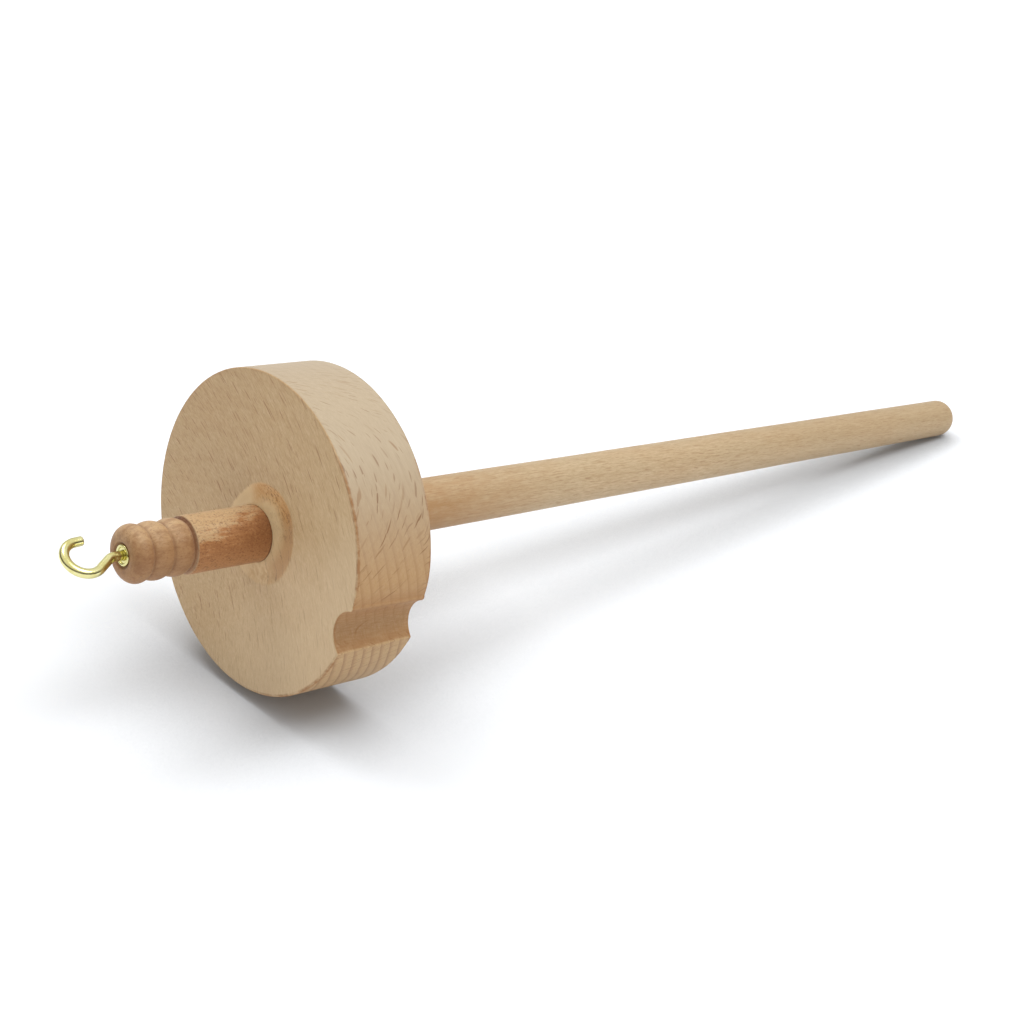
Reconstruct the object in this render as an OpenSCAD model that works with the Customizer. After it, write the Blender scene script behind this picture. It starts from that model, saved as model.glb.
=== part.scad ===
// Top-whorl drop spindle for spinning yarn by hand.
//
// Frame: +Z runs up the shaft toward the hook, the origin is on the shaft's
// axis in the plane of the whorl's underside, and +X points out through the
// yarn notch in the whorl's rim, to within a few degrees. Millimetres
// throughout. Directions are turned from +X toward +Y.
//
// Four pieces: a turned beech shaft, a beech whorl glued onto it, a bent brass
// hook that screws into the end of the shaft, and the brass collar that the
// hook's shank turns in.

/* [Whorl] */
// Outside diameter of the whorl
whorl_d = 80; // [60:1:100]
// Thickness of the whorl
whorl_t = 22; // [12:0.5:30]
// Radius of the round-over on both rim edges
whorl_edge = 0.4; // [0.3:0.1:2]
// Radius of the shallow dish round the shaft
dish_r = 13.7; // [10:0.1:20]
// Depth of that dish at its middle
dish_depth = 0.9; // [0.2:0.1:2]
// Distance of the dish's middle from the shaft's axis
dish_off = 2.6; // [0:0.1:4]
// Direction of that shift, from +X, in degrees
dish_az = 40; // [0:1:359]

/* [Yarn notch] */
// Depth of the notch below the rim
notch_depth = 4.2; // [2:0.1:6]
// Radius of the notch's round floor
notch_r = 6.6; // [4:0.1:12]
// Rounding of the crisp lip
notch_lip_crisp = 0.4; // [0.2:0.1:1.5]
// Rounding of the eased lip, where the yarn runs over the rim
notch_lip_eased = 1.5; // [0.2:0.1:4]
// Direction of the notch's middle, from +X, in degrees
notch_az = -1.1; // [-3:0.1:3]

/* [Shaft] */
// Diameter of the shaft at the whorl and above it
shaft_d = 14; // [10:0.5:18]
// Length of the shaft below the whorl's underside
shaft_below = 274.6; // [150:1:320]
// Length just below the whorl that stays at full diameter
seat_len = 20; // [10:1:60]
// Diameter of the shaft where the rounded tip starts
tip_d = 12.3; // [8:0.1:13]
// Corner radius of the rounded tip
tip_round = 5; // [2:0.25:6]

/* [Turned end] */
// Plain shaft between the whorl and the scored line
neck_len = 20; // [10:0.1:40]
// Width of the scored line
score_w = 0.7; // [0.3:0.1:1.5]
// Radius at the bottom of the scored line and of the valleys
valley_r = 6.1; // [4:0.1:6.5]
// Radius at the crown of the first bead above the line
bead_a_r = 6.9; // [6.6:0.05:7.2]
// Length of the first bead
bead_a_len = 5.35; // [3:0.05:8]
// Radius at the crown of the second bead
bead_b_r = 6.95; // [6.6:0.05:7.2]
// Length of the second bead
bead_b_len = 5.45; // [3:0.05:8]
// Radius at the widest part of the end bead
bead_c_r = 6.98; // [6.6:0.01:7.2]
// Radius of the end bead's shoulder
bead_c_round = 2.9; // [2:0.1:3.5]
// Depth of the countersunk seat that the collar stands in
seat_depth = 0.6; // [0.2:0.1:1]
// Radius of that seat at the end of the shaft
seat_top_r = 3.3; // [3:0.1:4]

/* [Hook] */
// Wire diameter of the hook
wire_d = 2.35; // [1.6:0.05:2.6]
// Radius of the bowl, to the middle of the wire
bowl_r = 4.5; // [3.5:0.1:7]
// Height of the bowl's centre above the collar's seat
bowl_up = 9.81; // [8.5:0.01:12]
// Sideways shift of the bowl's centre off the shaft's axis
bowl_off = 1.1; // [0:0.1:2]
// Lean of the wire where it leaves the shank, in degrees
lean = 34; // [25:1:45]
// Radius of the bend between the shank and the lean
bend_r = 3; // [2:0.1:4]
// Angle short of a full half turn at which the open end straightens
open_a = 4; // [0:1:20]
// Straight wire at the open end
open_len = 1.7; // [0.5:0.1:4]
// Direction the open side of the hook points, from +X, in degrees
hook_az = 164.8; // [0:0.1:359.9]

/* [Screw] */
// Thread pitch
pitch = 1.25; // [0.8:0.05:1.6]
// Length of the threaded shank in the wood
thread_len = 9.5; // [6:0.5:12]
// Thread depth, root to crest
thread_depth = 0.3; // [0.15:0.05:0.4]
// Radial room between the wire's surface and the pilot hole
pilot_gap = 0.03; // [0.02:0.01:0.08]

/* [Collar] */
// Outside diameter of the collar
collar_d = 5.2; // [4:0.1:7]
// Height of the collar's floor, next to the wire
flange_h = 0.25; // [0.2:0.05:1]
// Radius of the round ring raised along the collar's edge
ring_r = 0.35; // [0.25:0.05:0.7]

/* [Hidden] */
$fn = 96;

cut = 1;             // how far cutting shapes run past what they cut
bead_over = 0.3;     // how far a bead's profile runs past each of its ends
joint_gap = 0.1;     // gap at each end of a straight wire, filled by a joint's ball
joint_proud = 0.02;  // how far that ball stands out of the wire
collar_gap = 0.1;    // room between the collar's edge and its seat

whorl_r = whorl_d / 2;
notch_x = whorl_r - notch_depth + notch_r; // centre of the notch's round floor
shaft_r = shaft_d / 2;
tip_r = tip_d / 2;
tip_z = -shaft_below;
wire_r = wire_d / 2;
collar_r = collar_d / 2;

// Heights of the turned end, from the whorl up
score_z = whorl_t + neck_len;
score_top = score_z + score_w;
score_r = valley_r - 0.1; // ends inside the first bead
bead_a_z = score_top + bead_a_len / 2;
bead_b_z = bead_a_z + bead_a_len / 2 + bead_b_len / 2;
valley_c_z = bead_b_z + bead_b_len / 2;
bead_c_x = bead_c_r - bead_c_round;
bead_c_z = valley_c_z + sqrt(pow(bead_c_round, 2) - pow(valley_r - bead_c_x, 2));
end_z = bead_c_z + bead_c_round;
seat_z = end_z - seat_depth;

// Filler behind the valley below the end bead
filler_r = valley_r - 0.3;
filler_below = 1;
filler_len = 1.5;

// Pilot hole, with the shallow cone at its bottom. The collar's hole has the
// same radius.
pilot_r = wire_r + pilot_gap;
pilot_z = seat_z - (thread_len + 1);
drill_point_len = 0.5;
drill_point_r = 0.2;

// Hook path, in its own plane: x is sideways, z is up the shaft
bowl = [bowl_off, seat_z + bowl_up];
bowl_in = bowl - bowl_r * [cos(lean), sin(lean)];
bend_out_x = -bend_r * (1 - cos(lean));
lean_len = (bend_out_x - bowl_in[0]) / sin(lean);
bend_z = bowl_in[1] - lean_len * cos(lean) - bend_r * sin(lean);
bend_out = [bend_out_x, bend_z + bend_r * sin(lean)];
open_in = bowl + bowl_r * [cos(open_a), sin(open_a)];

// Screw
thread_z = seat_z - thread_len;
thread_stop = 0.6;     // the thread ends this far below the seat
shank_in = 0.7;        // the plain shank starts this far below the seat
lead = 3 * thread_depth; // length of the point before the thread starts
point_over = 0.3;      // how far the point reaches into the thread
point_r = 0.15;
turns = (thread_len - lead - thread_stop) / pitch;
crest_r = wire_r - 0.02;
point_top_r = crest_r - thread_depth - 0.08; // a little inside the thread's root
slices_per_turn = 16;

// Radius of an arc of this chord that rises this much
function arc_r(chord, rise) = (pow(chord / 2, 2) + pow(rise, 2)) / (2 * rise);

// Half section of a turned bead, wider than the valleys at its crown
module bead_2d(z, len, crown) {
    round_r = arc_r(len, crown - valley_r);
    intersection() {
        translate([crown - round_r, z]) circle(r = round_r);
        translate([0, z - len / 2 - bead_over]) square([shaft_r + cut, len + 2 * bead_over]);
    }
}

// Half section of the shaft before it is trimmed to the axis and its ends
module shaft_2d() {
    // Rounded tip
    translate([tip_r - tip_round, tip_z + tip_round]) circle(r = tip_round);
    translate([0, tip_z]) square([tip_r - tip_round, tip_round]);
    // Taper, seat, middle, neck and scored line
    polygon([
        [0, tip_z + tip_round], [tip_r, tip_z + tip_round],
        [shaft_r, -seat_len], [shaft_r, score_z],
        [score_r, score_top], [0, score_top]
    ]);
    // Beads and the core they stand on
    bead_2d(bead_a_z, bead_a_len, bead_a_r);
    bead_2d(bead_b_z, bead_b_len, bead_b_r);
    translate([bead_c_x, bead_c_z]) circle(r = bead_c_round);
    translate([0, score_z]) square([bead_c_x, end_z - score_z]);
    translate([0, valley_c_z - filler_below]) square([filler_r, filler_len]);
}

// Turned shaft with its beads, rounded tip, collar seat and pilot hole
module shaft() {
    color([0.74, 0.56, 0.37]) difference() {
        rotate_extrude() intersection() {
            union() shaft_2d();
            translate([0, tip_z - cut]) square([shaft_r + cut, end_z - tip_z + 2 * cut]);
        }
        // Pilot hole with its drilled point, and the collar's seat
        rotate_extrude() polygon([
            [0, pilot_z - drill_point_len], [drill_point_r, pilot_z - drill_point_len],
            [pilot_r, pilot_z], [pilot_r, seat_z],
            [collar_r + collar_gap, seat_z], [seat_top_r, end_z],
            [seat_top_r, end_z + cut], [0, end_z + cut]
        ]);
    }
}

// Waste outside one rounded lip of the notch. The lip's circle touches the rim
// from inside and the notch's floor circle from outside. Side is +1 for the
// lip toward +Y, -1 for the one toward -Y.
module lip_2d(lip_r, side) {
    centre_r = whorl_r - lip_r;
    // Law of cosines, with the whorl's, notch's and lip's centres as corners
    lip_a = acos((pow(centre_r, 2) + pow(notch_x, 2) - pow(notch_r + lip_r, 2))
                 / (2 * centre_r * notch_x));
    outward = [cos(lip_a), side * sin(lip_a)];
    notch_c = [notch_x, 0];
    lip_c = centre_r * outward;
    rim_touch = whorl_r * outward;
    floor_touch = notch_c + (lip_c - notch_c) * notch_r / (notch_r + lip_r);
    difference() {
        polygon([rim_touch, rim_touch * 1.1, notch_c, floor_touch]);
        translate(lip_c) circle(r = lip_r);
    }
}

// Whorl with its bore, dish and yarn notch
module whorl() {
    ball_r = arc_r(2 * dish_r, dish_depth);
    color([0.71, 0.60, 0.46]) difference() {
        rotate_extrude() {
            translate([0, whorl_edge]) square([whorl_r, whorl_t - 2 * whorl_edge]);
            square([whorl_r - whorl_edge, whorl_t]);
            for (z = [whorl_edge, whorl_t - whorl_edge])
                translate([whorl_r - whorl_edge, z]) circle(r = whorl_edge);
        }
        // Bore
        translate([0, 0, -cut]) cylinder(r = shaft_r, h = whorl_t + 2 * cut);
        // Dish
        rotate([0, 0, dish_az])
            translate([dish_off, 0, whorl_t + ball_r - dish_depth])
                sphere(r = ball_r);
        // Yarn notch
        rotate([0, 0, notch_az]) translate([0, 0, -cut])
            linear_extrude(height = whorl_t + 2 * cut) {
                translate([notch_x, 0]) circle(r = notch_r);
                lip_2d(notch_lip_crisp, -1);
                lip_2d(notch_lip_eased, 1);
            }
    }
}

// Wire along a straight line in the hook's plane, from a start point, tilted
// by some degrees from +Z toward +X, with a gap left at either end
module wire_line(start, tilt, len, from = joint_gap, to = joint_gap) {
    translate([start[0], 0, start[1]]) rotate([0, tilt, 0]) translate([0, 0, from])
        cylinder(r = wire_r, h = len - from - to);
}

// Wire round an arc in the hook's plane, between two angles about a centre
module wire_arc(centre, radius, from_a, to_a) {
    translate([centre[0], 0, centre[1]]) rotate([90, 0, 0]) rotate([0, 0, from_a])
        rotate_extrude(angle = to_a - from_a) translate([radius, 0]) circle(r = wire_r);
}

// Ball that blends a straight into an arc
module wire_joint(point) {
    translate([point[0], 0, point[1]]) sphere(r = wire_r + joint_proud);
}

// Point and right-hand thread
module screw() {
    translate([0, 0, thread_z]) cylinder(r1 = point_r, r2 = point_top_r, h = lead + point_over);
    // A circle set off the axis by half the thread's depth, twisted upward
    translate([0, 0, thread_z + lead])
        linear_extrude(height = turns * pitch, twist = -360 * turns,
                       slices = round(slices_per_turn * turns), $fn = 20)
            translate([thread_depth / 2, 0]) circle(r = crest_r - thread_depth / 2);
}

// Brass hook: threaded shank, bend, bowl and open end
module hook() {
    color([0.80, 0.68, 0.38]) rotate([0, 0, hook_az]) {
        // Plain shank through the collar
        wire_line([0, seat_z - shank_in], 0, bend_z - seat_z + shank_in, from = 0);
        screw();
        // Bend, lean, bowl and open end
        wire_joint([0, bend_z]);
        wire_arc([-bend_r, bend_z], bend_r, 0, lean);
        wire_joint(bend_out);
        wire_line(bend_out, -lean, lean_len);
        wire_joint(bowl_in);
        wire_arc(bowl, bowl_r, open_a, 180 + lean);
        wire_joint(open_in);
        wire_line(open_in, 180 - open_a, open_len, to = 0);
    }
}

// Collar that stands in the seat at the end of the shaft, with a rolled edge
// and a hole for the shank
module hook_collar() {
    clear_h = 3; // above the top of the ring
    color([0.78, 0.67, 0.36]) translate([0, 0, seat_z]) difference() {
        union() {
            cylinder(r = collar_r - ring_r, h = flange_h);
            // Ring, cut flat where it would reach below the seat
            rotate_extrude() intersection() {
                translate([collar_r - ring_r, flange_h]) circle(r = ring_r);
                square([collar_d, clear_h]);
            }
        }
        translate([0, 0, -cut]) cylinder(r = pilot_r, h = clear_h + cut);
    }
}

shaft();
whorl();
hook();
hook_collar();
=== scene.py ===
"""A supported spindle: a tapered beech shaft, a notched beech whorl and a brass hook.

The shaft's axis is Z. The whorl's underside is at z = 0 and its dished face looks to +Z.
The hook and its collar are at the +Z end, the blunt tip is at the -Z end, and the whorl's
notch faces +X. Angles round Z are measured from +X. Lengths are in millimetres until a
mesh, light or camera is made.
"""
import math

import bpy
import numpy as np
from mathutils import Matrix, Vector


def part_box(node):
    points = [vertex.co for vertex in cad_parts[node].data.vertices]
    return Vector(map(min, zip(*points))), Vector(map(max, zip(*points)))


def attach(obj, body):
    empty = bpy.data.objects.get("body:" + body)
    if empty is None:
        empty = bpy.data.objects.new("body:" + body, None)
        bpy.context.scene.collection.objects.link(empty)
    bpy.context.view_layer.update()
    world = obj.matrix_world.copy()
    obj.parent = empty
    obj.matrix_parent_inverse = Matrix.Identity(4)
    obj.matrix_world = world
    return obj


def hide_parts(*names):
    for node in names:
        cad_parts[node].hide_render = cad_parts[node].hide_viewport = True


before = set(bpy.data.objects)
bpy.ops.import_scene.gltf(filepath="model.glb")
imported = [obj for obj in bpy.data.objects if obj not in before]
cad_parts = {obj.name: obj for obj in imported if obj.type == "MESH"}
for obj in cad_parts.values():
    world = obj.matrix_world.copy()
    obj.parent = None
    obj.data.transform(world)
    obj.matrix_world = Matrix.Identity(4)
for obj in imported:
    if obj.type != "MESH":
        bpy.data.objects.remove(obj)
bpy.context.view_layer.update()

MM = 0.001


def box_mm(part):
    return [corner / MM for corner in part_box(part)]


# ---------------------------------------------------------------- sizes
whorl_hi = box_mm("whorl")[1]
shaft_lo, shaft_hi = box_mm("shaft")
collar_lo, collar_hi = box_mm("hook_collar")
HOOK_LOW_Z = box_mm("hook")[0].z

WHORL_R, WHORL_T = whorl_hi.y, whorl_hi.z
SHAFT_R = shaft_hi.x
TIP_Z, END_Z = shaft_lo.z, shaft_hi.z
COLLAR_R = collar_hi.x
SEAT_Z, COLLAR_TOP = collar_lo.z, collar_hi.z

# Shaft: rounded tip, taper, then the turned end above the scored line
TIP_R, TIP_LEN, TIP_POWER = 6.15, 5.0, 2 / 2.25
TAPER_TOP_Z = -20.0
SCORE_Z, SCORE_W, VALLEY_R = 42.0, 0.7, 6.1
BEADS = [  # centre z, length, crown radius
    (45.375, 5.35, 6.9),
    (50.775, 5.45, 6.95),
]
# The end bead's section is a circle: its middle's distance from the axis, and its radius
END_BEAD_OUT, END_BEAD_R = 4.08, 2.9
END_BEAD_Z = END_Z - END_BEAD_R
SEAT_R, SEAT_TOP_R = COLLAR_R + 0.1, 3.3
PILOT_R, PILOT_LEN = 1.205, 10.5

# Notch circle at each face: distance of its middle from the axis, direction in degrees, radius
NOTCH_TOP, NOTCH_UNDER = (41.94, -1.03, 6.65), (42.91, -1.20, 6.50)
LIP_CRISP, LIP_EASED = 0.4, 1.5
NOTCH_POINTS, EASED_POINTS, RIM_POINTS, CRISP_POINTS = 56, 16, 620, 9
DISH_DEPTH = 0.85

# The dish was turned off the shaft's axis, so its edge radius changes round the shaft
DISH_EDGE = [  # angle in degrees, radius
    (-180, 10.4), (-150, 10.5), (-120, 10.7), (-83, 11.1), (-72, 11.6), (-43, 12.8),
    (-14, 14.3), (5, 15.1), (29, 16.1), (46, 16.7), (64, 16.5), (79, 15.4),
    (99, 13.7), (120, 11.8), (136, 10.6), (154, 10.3), (180, 10.4),
]

# Hook: the wire leans away from the axis, then runs round a bowl to a short straight end
WIRE_R, BOWL_R, BOWL_OFF, BOWL_UP = 1.175, 4.5, 1.1, 9.81
LEAN, BEND_R, OPEN_ANGLE, OPEN_LEN = math.radians(34), 3.0, math.radians(4), 1.7
HOOK_TURN = math.radians(164.8)
SHANK_TOP = SEAT_Z - 0.55
PITCH, THREAD_LEN, THREAD_DEPTH, THREAD_LEAD = 1.25, 9.5, 0.3, 1.8
WIRE_SEGMENTS, WIRE_EDGE_R = 48, 0.34


# ---------------------------------------------------------------- shape help
def dish_radius(azimuth):
    """Radius of the dish's edge at angles in radians, smoothed between the table's points."""
    angles, radii = zip(*DISH_EDGE)
    every = np.linspace(-540, 540, 1081)
    radius = np.interp((every + 180) % 360 - 180, angles, radii)
    weight = np.exp(-0.5 * (np.arange(-20, 21) / 6.0) ** 2)
    radius = np.convolve(np.pad(radius, 20, mode="wrap"), weight / weight.sum(), mode="valid")
    return np.interp((np.degrees(azimuth) + 180) % 360 - 180, every, radius)


def ease(k):
    return k * k * (3 - 2 * k)


def smooth_noise(x, seed):
    """Sum of sines with fixed random phases in three octaves, in -1..1."""
    rng = np.random.default_rng(seed)
    out, strength, total = 0.0, 1.0, 0.0
    for octave in range(3):
        for _ in range(3):
            frequency = (2 ** octave) * rng.uniform(0.7, 1.4)
            out += strength * np.sin(frequency * x + rng.uniform(0, 2 * math.pi))
        total += strength * 1.8
        strength *= 0.5
    return out / total


def ring_noise(theta, seed, lo=2, hi=9):
    """Periodic wobble round a circle, with lo to hi - 1 waves in a turn, in -1..1."""
    rng = np.random.default_rng(seed)
    out = np.zeros_like(theta)
    for k in range(lo, hi):
        out += np.sin(k * theta + rng.uniform(0, 2 * math.pi)) / (1 + 0.35 * k)
    return out / 2.2


def make(name, verts, faces, material):
    mesh = bpy.data.meshes.new(name)
    mesh.from_pydata([tuple(v) for v in np.asarray(verts, float) * MM], [], faces)
    mesh.validate()
    mesh.update()
    mesh.polygons.foreach_set("use_smooth", [True] * len(mesh.polygons))
    piece = bpy.data.objects.new(name, mesh)
    bpy.context.scene.collection.objects.link(piece)
    mesh.materials.append(material)
    return piece


def bridge(first, second):
    """Faces between two rings of vertex numbers. A ring of one vertex is a pole."""
    count = max(len(first), len(second))
    faces = []
    for j in range(count):
        k = (j + 1) % count
        if len(first) == 1:
            faces.append((first[0], second[k], second[j]))
        elif len(second) == 1:
            faces.append((first[j], first[k], second[0]))
        else:
            faces.append((first[j], first[k], second[k], second[j]))
    return faces


def loft(rings, closed=False):
    """Faces through a list of rings; closed joins the last back to the first."""
    following = rings[1:] + (rings[:1] if closed else [])
    return [face for pair in zip(rings, following) for face in bridge(*pair)]


def arc(centre_r, centre_z, radius, start, end, count):
    """Profile points on a circle, between angles in degrees."""
    return [(centre_r + radius * math.cos(a), centre_z + radius * math.sin(a))
            for a in np.radians(np.linspace(start, end, count))]


def lathe(name, profile, segments, material, closed=False, wobble=None):
    """Turns a list of (r, z) round Z. An end at r = 0 becomes a single point."""
    theta = np.linspace(0, 2 * math.pi, segments, endpoint=False)
    verts, rings = [], []
    for r, z in profile:
        start = len(verts)
        if r < 1e-6:
            verts.append((0, 0, z))
        else:
            radius = np.full(segments, r)
            if wobble is not None:
                radius = radius + wobble(theta, r, z)
            verts.extend(np.c_[radius * np.cos(theta), radius * np.sin(theta),
                               np.full(segments, z)])
        rings.append(range(start, len(verts)))
    return make(name, verts, loft(rings, closed), material)


# ---------------------------------------------------------------- node help
def srgb(*rgb):
    """Linear colour from sRGB values in 0..255."""
    def linear(c):
        return c / 255 / 12.92 if c / 255 <= 0.04045 else ((c / 255 + 0.055) / 1.055) ** 2.4
    return tuple(linear(c) for c in rgb) + (1.0,)


class Value:
    """A node's output that takes plain arithmetic. Each operation adds its own node."""

    def __init__(self, graph, socket):
        self.graph = graph
        self.socket = socket

    def __add__(self, other):
        return self.graph.math("ADD", self, other)

    def __radd__(self, other):
        return self.graph.math("ADD", other, self)

    def __sub__(self, other):
        # A plain number is taken away by adding its negative
        if isinstance(other, Value):
            return self.graph.math("SUBTRACT", self, other)
        return self + -other

    def __rsub__(self, other):
        return self.graph.math("SUBTRACT", other, self)

    def __mul__(self, other):
        return self.graph.math("MULTIPLY", self, other)

    def __truediv__(self, other):
        return self.graph.math("DIVIDE", self, other)

    def __pow__(self, power):
        return self.graph.math("POWER", self, power)

    def __abs__(self):
        return self.graph.math("ABSOLUTE", self)

    def fract(self):
        return self.graph.math("FRACT", self)

    def scaled(self, scale):
        """A vector times a number."""
        return self.graph.out("ShaderNodeVectorMath", {0: self, "Scale": scale},
                              operation="SCALE")

    def linear(self, start, end, out=(0.0, 1.0), curve="LINEAR"):
        """Goes from out[0] where the value is start to out[1] where it is end, clamped."""
        return self.graph.out("ShaderNodeMapRange", {
            "Value": self, "From Min": start, "From Max": end,
            "To Min": out[0], "To Max": out[1]}, interpolation_type=curve, clamp=True)

    def smooth(self, start, end, out=(0.0, 1.0)):
        """The same with eased ends. A start above the end gives a mask that falls."""
        return self.linear(start, end, out, "SMOOTHSTEP")


def weighted_sum(values, weights):
    total = values[0] * weights[0]
    for value, weight in zip(values[1:], weights[1:]):
        total = total + value * weight
    return total


class Graph:
    """Builds the node tree of a material or world. coat() paints over its colour."""

    def __init__(self, owner):
        owner.use_nodes = True
        self.owner = owner
        self.tree = owner.node_tree
        self.tree.nodes.clear()

    def node(self, kind, inputs=None, **settings):
        node = self.tree.nodes.new(kind)
        for name, setting in settings.items():
            setattr(node, name, setting)
        for key, value in (inputs or {}).items():
            if isinstance(value, Value):
                self.tree.links.new(value.socket, node.inputs[key])
            else:
                node.inputs[key].default_value = value
        return node

    def out(self, kind, inputs=None, output=0, **settings):
        return Value(self, self.node(kind, inputs, **settings).outputs[output])

    def math(self, operation, *values):
        return self.out("ShaderNodeMath", dict(enumerate(values)), operation=operation)

    def vector_math(self, operation, *values):
        output = 1 if operation in ("LENGTH", "DISTANCE", "DOT_PRODUCT") else 0
        return self.out("ShaderNodeVectorMath", dict(enumerate(values)), output,
                        operation=operation)

    def split(self, vector):
        return [Value(self, s) for s in self.node("ShaderNodeSeparateXYZ", {0: vector}).outputs]

    def vector(self, x, y, z):
        return self.out("ShaderNodeCombineXYZ", {0: x, 1: y, 2: z})

    def noise(self, vector, detail=2.0, rough=0.5):
        return self.out("ShaderNodeTexNoise", {"Vector": vector, "Scale": 1.0,
                                               "Detail": detail, "Roughness": rough})

    def noise_along(self, axes, scales, detail=2.0, rough=0.5):
        """Noise with its own scale along each axis; a higher scale is finer."""
        vector = self.vector(*[axis * scale for axis, scale in zip(axes, scales)])
        return self.noise(vector, detail, rough)

    def mix(self, factor, under, over):
        return self.out("ShaderNodeMix", {0: factor, 6: under, 7: over}, 2, data_type="RGBA")

    def coat(self, rgb, mask, strength=None):
        if strength is not None:
            mask = mask * strength
        self.colour = self.mix(mask, self.colour, srgb(*rgb))

    def use_object_mm(self):
        self.point = self.out("ShaderNodeTexCoord", output="Object").scaled(1000.0)
        self.axes = self.split(self.point)

    def finish(self, bump, surface):
        """Principled surface over a bump, both given by their input names."""
        normal = self.out("ShaderNodeBump", bump)
        shader = self.out("ShaderNodeBsdfPrincipled", {**surface, "Base Color": self.colour,
                                                       "Normal": normal})
        self.node("ShaderNodeOutputMaterial", {"Surface": shader})
        return self.owner


# ---------------------------------------------------------------- wood
class Wood(Graph):
    """Beech. The grain runs in a fibre, tangent, radial space, in millimetres."""

    def __init__(self, name):
        super().__init__(bpy.data.materials.new(name))
        self.use_object_mm()
        x, y, z = self.axes
        self.normal = self.split(self.out("ShaderNodeNewGeometry", output="Normal"))
        self.radius = self.math("SQRT", x * x + y * y)

    def toward(self, degrees):
        """1 where the point lies in this direction from the axis, 0 at right angles, -1 opposite."""
        x, y, z = self.axes
        angle = math.radians(degrees)
        return weighted_sum((x / self.radius, y / self.radius),
                            (math.cos(angle), math.sin(angle)))

    def set_fibres(self, along, tangent, radial, end_grain):
        """Keeps the grain space, with a slow waver. end_grain is 1 on a face across the fibres."""
        wide = self.noise(self.vector(along * 0.25 + 0.0, tangent, radial).scaled(0.16)) \
            if False else None
        self.wander = self.noise(self.vector(along * 0.35, tangent, radial).scaled(0.06))
        closer = self.vector(along * 0.25, tangent, radial).scaled(0.16)
        self.waver = self.noise(self.vector_math("ADD", closer, (7.3, 1.1, 4.2)))
        radial = radial + (self.wander - 0.5) * 1.4
        tangent = tangent + (self.waver - 0.5) * 1.1
        self.fibre = (along, tangent, radial)
        self.end_grain = end_grain

    def spots(self, cell, size, offset):
        """Scattered lens-shaped spots in grain space: the mask, and a random value per spot."""
        place = self.vector(*[axis * (1 / step) for axis, step in zip(self.fibre, cell)])
        place = self.vector_math("ADD", place, offset)
        cells = self.node("ShaderNodeTexVoronoi", {"Vector": place, "Scale": 1.0})
        size_chance, strength_chance, _ = self.split(Value(self, cells.outputs["Color"]))
        away = self.vector_math("SUBTRACT", place, Value(self, cells.outputs["Position"]))
        away = self.vector_math("MULTIPLY", away, tuple(c / s for c, s in zip(cell, size)))
        away = self.vector_math("LENGTH", away) / size_chance.linear(0, 1, out=(0.35, 1.15))
        return away.smooth(1.0, 0.55), strength_chance

    def rays(self, table):
        dashes = None
        for cell, size, offset, strength in table:
            mask, chance = self.spots(cell, size, offset)
            layer = mask * chance.linear(0, 1, out=strength)
            dashes = layer if dashes is None else self.math("MAXIMUM", dashes, layer)
        return dashes

    def paint_grain(self, rays, ring_pitch, ray_strength, palette):
        # Growth rings: a slow climb to a thin darker line, then a sharp drop
        phase = (self.fibre[2] * (1 / ring_pitch) + self.waver * 0.35).fract()
        ring = phase ** 5.0 * phase.smooth(1.0, 0.955)
        late = phase.smooth(0.15, 0.85)

        # Vessels and fibres: fine streaks along the grain, dots on end grain
        streak = self.noise_along(self.fibre, (0.12, 1.9, 1.3), detail=3.0, rough=0.70)
        strand = self.noise_along(self.fibre, (0.42, 4.2, 3.4), rough=0.65)
        pore = self.noise_along(self.fibre, (0.7, 8.0, 8.0), rough=0.6).smooth(0.56, 0.72)
        blotch = self.noise(self.point.scaled(0.055), detail=3.0, rough=0.55)

        end_grain = self.end_grain
        light, dark, warm = palette["light"], palette["dark"], palette["warm"]
        self.colour = srgb(*palette["base"])
        self.coat(warm, blotch.smooth(0.25, 0.75), strength=0.10)
        self.coat(warm, self.wander.smooth(0.45, 0.70), strength=0.14)
        self.coat(light, streak.smooth(0.48, 0.30), strength=0.60)
        self.coat(dark, streak.smooth(0.50, 0.70), strength=0.62)
        self.coat(dark, strand.smooth(0.52, 0.68), strength=0.55)
        self.coat(light, strand.smooth(0.48, 0.33), strength=0.42)
        self.coat(warm, late * end_grain.linear(0.2, 0.9, out=(0.02, 0.18)))
        self.coat(palette["end"], end_grain.smooth(0.25, 0.95), strength=0.62)
        self.coat(palette["ring"], ring * end_grain.linear(0.25, 0.85, out=(0.03, 0.80)))
        self.coat(palette["ray"], pore, strength=0.22)
        self.coat(palette["ray"], rays, strength=ray_strength)

        self.ring_phase, self.blotch = phase, blotch
        self.roughness = 0.52 + (blotch - 0.5) * 0.12 + rays * 0.10 + pore * 0.06
        self.height = rays * -0.45 + pore * -0.25 + streak * 0.40 + strand * 0.35 + ring * -0.12

    def finish_wood(self):
        return self.finish(
            {"Strength": 0.55, "Distance": 0.00012, "Height": self.height},
            {"Roughness": self.roughness, "Specular IOR Level": 0.32,
             "Sheen Weight": 0.06, "Sheen Roughness": 0.6})


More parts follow.
